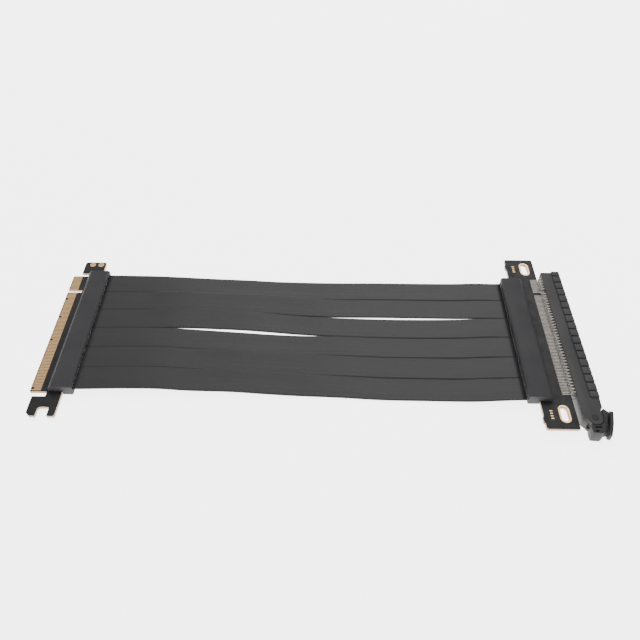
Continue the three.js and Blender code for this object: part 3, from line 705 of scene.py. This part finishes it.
def beam(name, section, near, far):
    """Bar of one section, each point (along, height), from near to far across the cable."""
    shell = bmesh.new()
    ends = [[shell.verts.new(at(x, y, z)) for x, z in section] for y in (near, far)]
    count = len(section)
    for k in range(count):
        shell.faces.new((ends[0][k], ends[0][(k + 1) % count], ends[1][(k + 1) % count], ends[1][k]))
    shell.faces.new(ends[0])
    shell.faces.new(ends[1])
    bmesh.ops.recalc_face_normals(shell, faces=shell.faces)
    mesh = bpy.data.meshes.new(name)
    shell.to_mesh(mesh)
    shell.free()
    cutter = bpy.data.objects.new(name, mesh)
    bpy.context.scene.collection.objects.link(cutter)
    return cutter


def moulding_section(cable_face, side, low):
    """Side view of a moulding; its board lies towards side, -1 or 1, of the face that the ribbons leave."""
    top = low + mould_height
    view = [
        (0, low + mould_foot), (mould_foot, low), (mould_depth - mould_foot, low),
        (mould_depth, low + mould_foot), (mould_depth, top - mould_slope_drop),
        (mould_depth - mould_slope_run, top), (mould_lip, top), (0, top - mould_lip),
    ]
    return [(cable_face + side * depth, height) for depth, height in view]


mould_depth = 12.4
mould_height = 6.4
mould_slope_run = 1.7
mould_slope_drop = 1.8
mould_lip = 0.9
mould_foot = 0.5
mouldings = [
    ("plug", plug_cable_face, -1, 0.0, -42.4, 43.9),
    ("slot", slot_cable_face, 1, 2.95, -45.9, 39.5),
]
moulding_black = moulded_finish(
    "moulding_black", (0.040, 0.0396, 0.042, 1), (0.058, 0.0572, 0.060, 1), 2400, 0.55)
for end, cable_face, side, low, near, far in mouldings:
    bar = beam(f"{end}_bar", moulding_section(cable_face, side, low), near, far)
    solid = bpy.data.objects.new(f"{end}_solid", solid_copy(f"{end}_mould"))
    bpy.context.scene.collection.objects.link(solid)
    hollow = ("BOOLEAN", {"operation": "INTERSECT", "solver": "EXACT", "object": solid})
    steps = [broken_edge(0.25, 3), hollow]
    piece = worked(f"{end}_moulding", bar.data, [moulding_black], steps)
    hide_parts(f"{end}_mould")
    bpy.data.objects.remove(bar)
    bpy.data.objects.remove(solid)

# Slot board: a long strip of the same black board, with a gold-ringed slotted hole at each end, the stubs
# where it was snapped from its panel, and rows of pads under the connector's tails. Small test pads lie by
# each hole.
slot_board_edge = 257.9
slot_board_rear = slot_board_edge + 16.5
slot_board_near = -1.55 - 121.7 / 2
slot_board_far = -1.55 + 121.7 / 2
slot_board_top = 5.55
slot_board_low = slot_board_top - board_thickness
slot_holes = [(slot_board_rear - 5.9, -53.4), (slot_board_rear - 5.9, 51.0)]
slot_hole_radius = 1.8
slot_hole_half = 2.5
slot_ring_width = 0.95
stub_depth = 0.6
slot_board_outline = [
    (slot_board_edge, slot_board_near, board_corner), (slot_board_rear, slot_board_near, board_corner),
    (slot_board_rear, slot_board_far, board_corner), (slot_board_edge, slot_board_far, board_corner),
]
for middle in (52.5, -57.0):
    slot_board_outline += [
        (slot_board_edge, middle + 2.1), (slot_board_edge - stub_depth, middle + 1.6),
        (slot_board_edge - stub_depth, middle - 1.6), (slot_board_edge, middle - 2.1),
    ]
piece = worked(
    "slot_board_panel",
    slab("slot_board_panel", rounded(slot_board_outline),
         [circle(x, y, slot_hole_radius, slot_hole_half) for x, y in slot_holes],
         slot_board_low, slot_board_top),
    [solder_mask, laminate], [broken_edge(0.12, 1)])
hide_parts("slot_board")
for number, (x, y) in enumerate(slot_holes):
    for side, low in enumerate([slot_board_top, slot_board_low - plating]):
        ring = slab("slot_ring", circle(x, y, slot_hole_radius + slot_ring_width, slot_hole_half),
                    [circle(x, y, slot_hole_radius + 0.02, slot_hole_half)], low, low + plating)
        worked(f"slot_ring_{number + 1}_{side + 1}", ring, [contact_gold] * 2, [broken_edge(0.02, 1)])
test_pad_start = 261.4
test_pad_length = 1.3
test_pad_width = 0.5
test_pad_step = 1.5
test_pad_count = 4
for end, first_pad in (("near", -56.4), ("far", 48.4)):
    for k in range(test_pad_count):
        y = first_pad + k * test_pad_step
        x_end, y_end = test_pad_start + test_pad_length, y + test_pad_width
        corners = [(test_pad_start, y), (x_end, y), (x_end, y_end), (test_pad_start, y_end)]
        pad = slab("test_pad", corners, [], slot_board_top, slot_board_top + 0.04)
        new_piece(f"{end}_test_pad_{k + 1}", pad, contact_gold)


def tinned_finish():
    finish = Finish("tinned_tail", metallic=0.9)
    wear = finish.noise(finish.place(), 900, 3.0)
    tone = finish.blend(finish.step(wear, 0.3, 0.7), (0.42, 0.38, 0.34, 1), (0.62, 0.58, 0.53, 1))
    finish.feed("Base Color", tone)
    finish.feed("Roughness", finish.step(wear, 0.3, 0.7, 0.42, 0.28))
    return finish.material


tinned_tail = tinned_finish()
pad_start, pad_end = 269.9, 274.1
pad_width = 0.62
pad_lift = 0.02
for side, face in (("upper", slot_board_top + pad_lift), ("lower", slot_board_low - pad_lift)):
    row_of(f"{side}_pads", [(pad_start, face), (pad_end, face)], pad_width, plating, 0, tinned_tail)

# Slot connector: black glass-filled housing with long card pockets, a castellated rim round its mouth and two
# ears at the near end. Its gold springs stand in the pockets and leave at the back as bent tinned tails.
housing_rear = 276.3
mouth_face = 286.8
slot_middle = 4.75
mouth_half = 0.9
mouth_depth = 8.2
mouth_end_clearance = 1.3
lead_run = 1.1
lead_half = 1.9
key_wall_half = 0.85
pocket_section = [
    (mouth_face - mouth_depth, slot_middle - mouth_half), (mouth_face - lead_run, slot_middle - mouth_half),
    (mouth_face, slot_middle - lead_half), (mouth_face + 1, slot_middle - lead_half),
    (mouth_face + 1, slot_middle + lead_half), (mouth_face, slot_middle + lead_half),
    (mouth_face - lead_run, slot_middle + mouth_half), (mouth_face - mouth_depth, slot_middle + mouth_half),
]
pocket_end = first_contact + mouth_end_clearance
rear_section = [(266, -3), (housing_rear + 0.01, -3), (housing_rear + 0.01, 14), (266, 14)]
cutters = [
    beam("rear_trim", rear_section, -60, 50),
    beam("near_pocket", pocket_section, -pocket_end, key_middle - key_wall_half),
    beam("far_pocket", pocket_section, key_middle + key_wall_half, pocket_end),
]
housing_black = moulded_finish(
    "housing_black", (0.052, 0.051, 0.052, 1), (0.072, 0.0705, 0.072, 1), 3000, 0.5)
cuts = [("BOOLEAN", {"operation": "DIFFERENCE", "solver": "EXACT", "object": cutter}) for cutter in cutters]
trimmed = worked("trimmed_housing", solid_copy("slot_housing"), [housing_black], cuts, smooth=0)
for cutter in cutters:
    bpy.data.objects.remove(cutter)
shell = bmesh.new()
shell.from_mesh(trimmed.data)
bmesh.ops.remove_doubles(shell, verts=shell.verts, dist=2e-6)
bmesh.ops.dissolve_limit(shell, angle_limit=math.radians(0.6), verts=shell.verts, edges=shell.edges)
housing_mesh = bpy.data.meshes.new("slot_connector")
shell.to_mesh(housing_mesh)
shell.free()
bpy.data.objects.remove(trimmed)
piece = worked("slot_connector", housing_mesh, [housing_black], [broken_edge(0.12, 2)])
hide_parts("slot_housing")


tail_width = 0.5
tail_thickness = 0.2
spring_width = 0.55
spring_thickness = 0.22
tail_foot = slot_board_top + plating + tail_thickness / 2
outer_tail = [(housing_rear + 0.5, 7.85), (274.5, 7.85), (273.5, tail_foot), (270.1, tail_foot)]
inner_tail = [(housing_rear + 0.5, 6.05), (275.6, 6.05), (275.1, tail_foot), (270.1, tail_foot)]
spring = [(279.8, slot_middle + 1.1), (280.3, slot_middle + 0.85), (283.0, slot_middle + 0.45),
          (284.1, slot_middle + 0.9), (284.3, slot_middle + 1.1)]
for side, sign in (("upper", 1), ("lower", -1)):
    def facing(view):
        return [(x, slot_middle + sign * (z - slot_middle)) for x, z in view]

    row_of(f"{side}_outer_tails", facing(outer_tail), tail_width, tail_thickness, 0.5, tinned_tail, 2, 2)
    row_of(f"{side}_inner_tails", facing(inner_tail), tail_width, tail_thickness, 0.3, tinned_tail, 1, 2)
    row_of(f"{side}_springs", facing(spring), spring_width, spring_thickness, 0.4, contact_gold)

# Latch: one moulded lever on a pin between the housing's ears. Its nose hooks behind a card's notch, and its
# broad thumb paddle stands out beside the mouth. It takes the latch body's place in the frame.
latch_black = moulded_finish("latch_black", (0.034, 0.034, 0.0345, 1), (0.050, 0.0495, 0.050, 1), 2600, 0.5)
piece = worked("card_latch", solid_copy("latch"), [latch_black], [broken_edge(0.15, 2)], body="latch")
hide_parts("latch")
